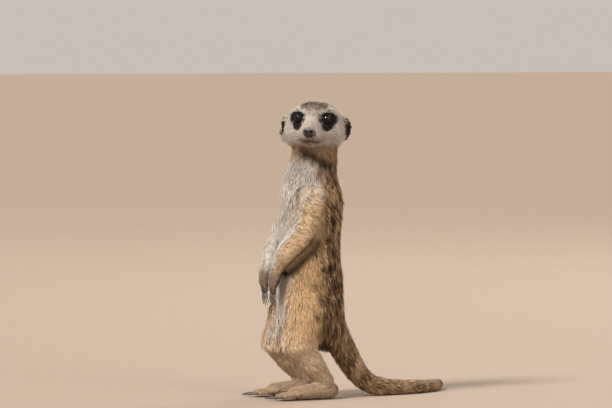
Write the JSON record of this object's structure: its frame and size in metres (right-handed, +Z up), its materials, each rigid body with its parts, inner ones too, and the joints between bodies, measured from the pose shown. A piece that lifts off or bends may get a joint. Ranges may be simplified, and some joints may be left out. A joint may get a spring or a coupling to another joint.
{
  "type": "meerkat model",
  "caption": "Life-size meerkat standing upright on its hind feet and tail, arms hanging in front, head turned to its left",
  "frame": {"origin": "on the floor, below the middle of the bounding box", "axes": "+Z up, the animal's chest faces -Y, its left side is towards +X"},
  "size_m": [0.1286, 0.2224, 0.275],
  "materials": {
    "coat_back": "dark banded fur",
    "coat_flank": "tan fur",
    "coat_pale": "pale fur",
    "coat_neck": "grey fur",
    "coat_face": "short pale fur",
    "coat_ear": "short black fur",
    "coat_hand": "short grey-brown fur",
    "coat_tail_end": "black fur",
    "claw": "dark horn, satin",
    "nose_leather": "moist dark skin",
    "eye": "wet, glossy"
  },
  "bodies": {
    "root": {"trunk": "coat_flank", "neck": "coat_neck", "head": "coat_face", "nose": "nose_leather", "eye_left": "eye", "ear_left": "coat_ear", "upper_arm_left": "coat_pale", "forearm_left": "coat_flank", "hand_left": "coat_hand", "thigh_left": "coat_flank", "shank_left": "coat_flank", "foot_left": "coat_flank", "claw_hand_left_1": "claw", "claw_foot_left_1": "claw", "claw_hand_left_2": "claw", "claw_foot_left_2": "claw", "claw_hand_left_3": "claw", "claw_foot_left_3": "claw", "claw_hand_left_4": "claw", "claw_foot_left_4": "claw", "eye_right": "eye", "ear_right": "coat_ear", "upper_arm_right": "coat_pale", "forearm_right": "coat_flank", "hand_right": "coat_hand", "thigh_right": "coat_flank", "shank_right": "coat_flank", "foot_right": "coat_flank", "claw_hand_right_1": "claw", "claw_foot_right_1": "claw", "claw_hand_right_2": "claw", "claw_foot_right_2": "claw", "claw_hand_right_3": "claw", "claw_foot_right_3": "claw", "claw_hand_right_4": "claw", "claw_foot_right_4": "claw", "tail_base": "coat_back", "tail_middle": "coat_flank", "tail_tip": "coat_tail_end"}
  },
  "joints": []
}
